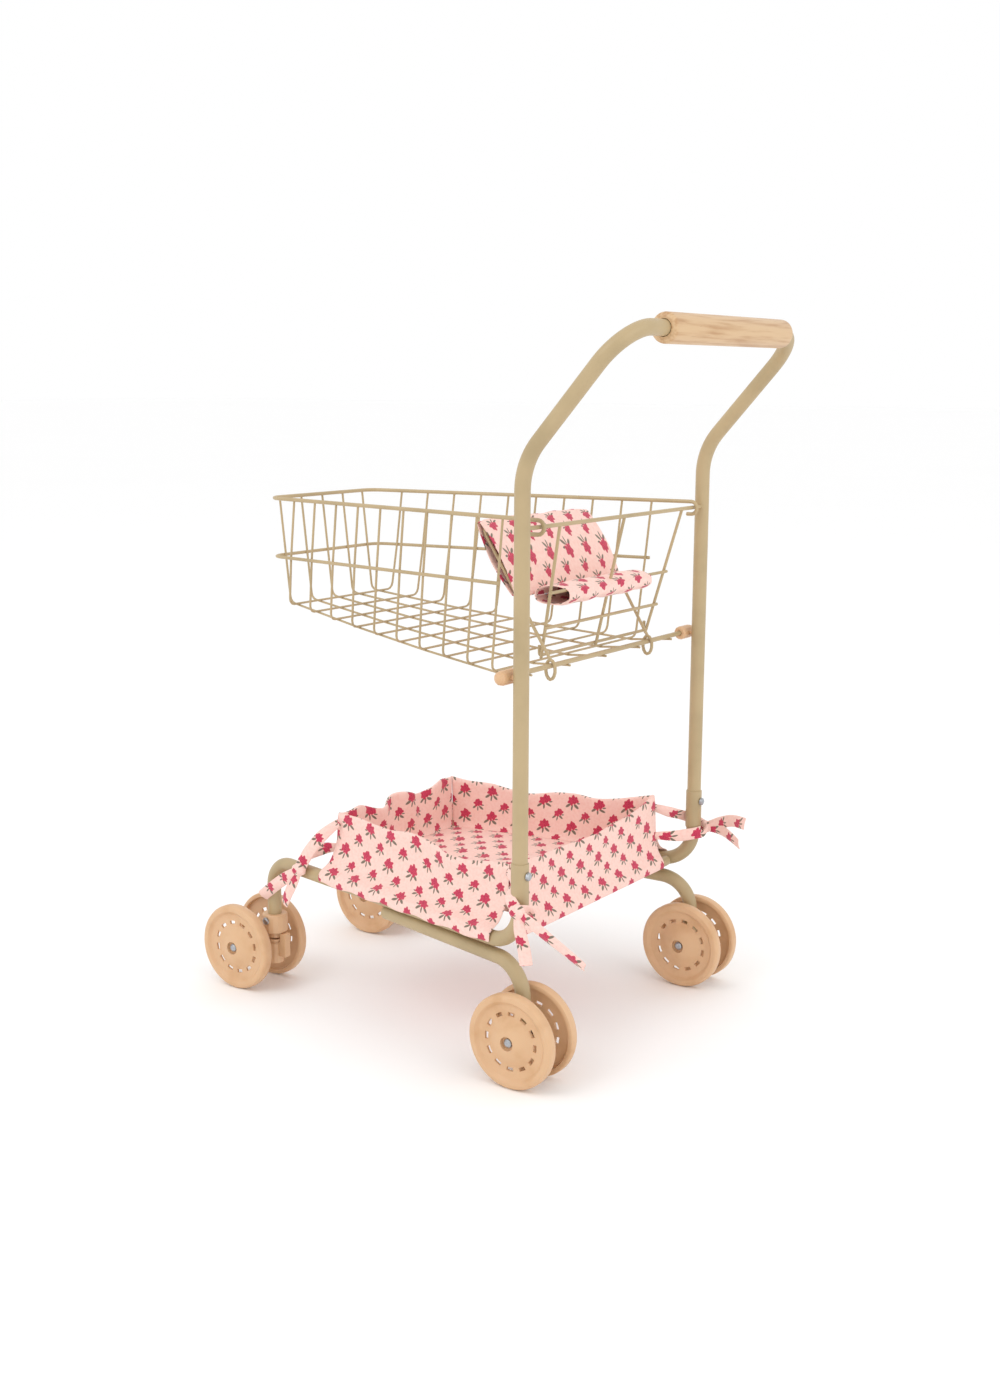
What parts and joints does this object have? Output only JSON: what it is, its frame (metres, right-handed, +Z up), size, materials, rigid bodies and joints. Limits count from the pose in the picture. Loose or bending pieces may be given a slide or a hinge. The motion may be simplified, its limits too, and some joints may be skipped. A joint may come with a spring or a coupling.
{
  "type": "shopping cart",
  "caption": "Child's shopping cart: bent tube frame on twin-wheel casters, tapered wire basket with a folding doll seat, wood push handle and a cloth tray tied between the side tubes.",
  "frame": {"origin": "centre of the bounding box on the floor", "axes": "+X the cart's left, -Y the nose, +Z up"},
  "size_m": [0.3084, 0.443, 0.5697],
  "materials": {
    "painted_steel": "beige powder coat, satin",
    "peach_plastic": "peach moulded plastic, satin",
    "zinc_steel": "bright zinc plate",
    "printed_cotton": "pale pink woven cotton with a small flower print",
    "grip_wood": "lacquered light wood"
  },
  "bodies": {
    "frame": {"cloth_tray": "printed_cotton", "front_cross_tube": "painted_steel", "handle_grip": "grip_wood", "left_caster_collar": "peach_plastic", "left_collar_screw": "zinc_steel", "left_front_tie": "printed_cotton", "left_handle_tube": "painted_steel", "left_rear_axle": "zinc_steel", "left_rear_inner_screw": "zinc_steel", "left_rear_leg": "painted_steel", "left_rear_outer_screw": "zinc_steel", "left_rear_tie": "printed_cotton", "left_rod_cap": "peach_plastic", "left_side_frame": "painted_steel", "left_socket_screw": "zinc_steel", "rear_cross_tube": "painted_steel", "rear_gate": "painted_steel", "right_caster_collar": "peach_plastic", "right_collar_screw": "zinc_steel", "right_front_tie": "printed_cotton", "right_handle_tube": "painted_steel", "right_rear_axle": "zinc_steel", "right_rear_inner_screw": "zinc_steel", "right_rear_leg": "painted_steel", "right_rear_outer_screw": "zinc_steel", "right_rear_tie": "printed_cotton", "right_rod_cap": "peach_plastic", "right_side_frame": "painted_steel", "right_socket_screw": "zinc_steel", "seat_cover": "printed_cotton", "wire_basket": "painted_steel"},
    "left_caster": {"left_caster_body": "peach_plastic", "left_front_axle": "zinc_steel", "left_front_outer_screw": "zinc_steel", "left_front_inner_screw": "zinc_steel"},
    "left_front_outer_wheel": {"left_front_outer_wheel": "peach_plastic"},
    "left_front_inner_wheel": {"left_front_inner_wheel": "peach_plastic"},
    "left_rear_outer_wheel": {"left_rear_outer_wheel": "peach_plastic"},
    "left_rear_inner_wheel": {"left_rear_inner_wheel": "peach_plastic"},
    "right_caster": {"right_caster_body": "peach_plastic", "right_front_axle": "zinc_steel", "right_front_outer_screw": "zinc_steel", "right_front_inner_screw": "zinc_steel"},
    "right_front_outer_wheel": {"right_front_outer_wheel": "peach_plastic"},
    "right_front_inner_wheel": {"right_front_inner_wheel": "peach_plastic"},
    "right_rear_outer_wheel": {"right_rear_outer_wheel": "peach_plastic"},
    "right_rear_inner_wheel": {"right_rear_inner_wheel": "peach_plastic"},
    "seat_back": {"seat_back_frame": "painted_steel", "seat_back_cover": "printed_cotton"}
  },
  "joints": [
    {"name": "left_caster_swivel", "type": "hinge", "parent": "frame", "child": "left_caster", "pos_m": [0.0895, -0.1603, 0.03723], "axis": [0, 0, 1], "continuous": true},
    {"name": "left_front_outer_spin", "type": "hinge", "parent": "left_caster", "child": "left_front_outer_wheel", "pos_m": [0.1138, -0.1843, 0.03723], "axis": [1, 0, 0], "continuous": true},
    {"name": "left_front_inner_spin", "type": "hinge", "parent": "left_caster", "child": "left_front_inner_wheel", "pos_m": [0.0652, -0.1843, 0.03723], "axis": [1, 0, 0], "continuous": true},
    {"name": "left_rear_outer_spin", "type": "hinge", "parent": "frame", "child": "left_rear_outer_wheel", "pos_m": [0.1484, 0.129, 0.03723], "axis": [1, 0, 0], "continuous": true},
    {"name": "left_rear_inner_spin", "type": "hinge", "parent": "frame", "child": "left_rear_inner_wheel", "pos_m": [0.1148, 0.129, 0.03723], "axis": [1, 0, 0], "continuous": true},
    {"name": "right_caster_swivel", "type": "hinge", "parent": "frame", "child": "right_caster", "pos_m": [-0.0895, -0.1603, 0.03723], "axis": [0, 0, 1], "continuous": true},
    {"name": "right_front_outer_spin", "type": "hinge", "parent": "right_caster", "child": "right_front_outer_wheel", "pos_m": [-0.1138, -0.1843, 0.03723], "axis": [1, 0, 0], "continuous": true},
    {"name": "right_front_inner_spin", "type": "hinge", "parent": "right_caster", "child": "right_front_inner_wheel", "pos_m": [-0.0652, -0.1843, 0.03723], "axis": [1, 0, 0], "continuous": true},
    {"name": "right_rear_outer_spin", "type": "hinge", "parent": "frame", "child": "right_rear_outer_wheel", "pos_m": [-0.1484, 0.129, 0.03723], "axis": [1, 0, 0], "continuous": true},
    {"name": "right_rear_inner_spin", "type": "hinge", "parent": "frame", "child": "right_rear_inner_wheel", "pos_m": [-0.1148, 0.129, 0.03723], "axis": [1, 0, 0], "continuous": true},
    {"name": "seat_back_hinge", "type": "hinge", "parent": "frame", "child": "seat_back", "pos_m": [0, 0.1147, 0.3109], "axis": [1, 0, 0], "range_deg": [-11, 0], "deforming": ["seat_cover"]}
  ]
}
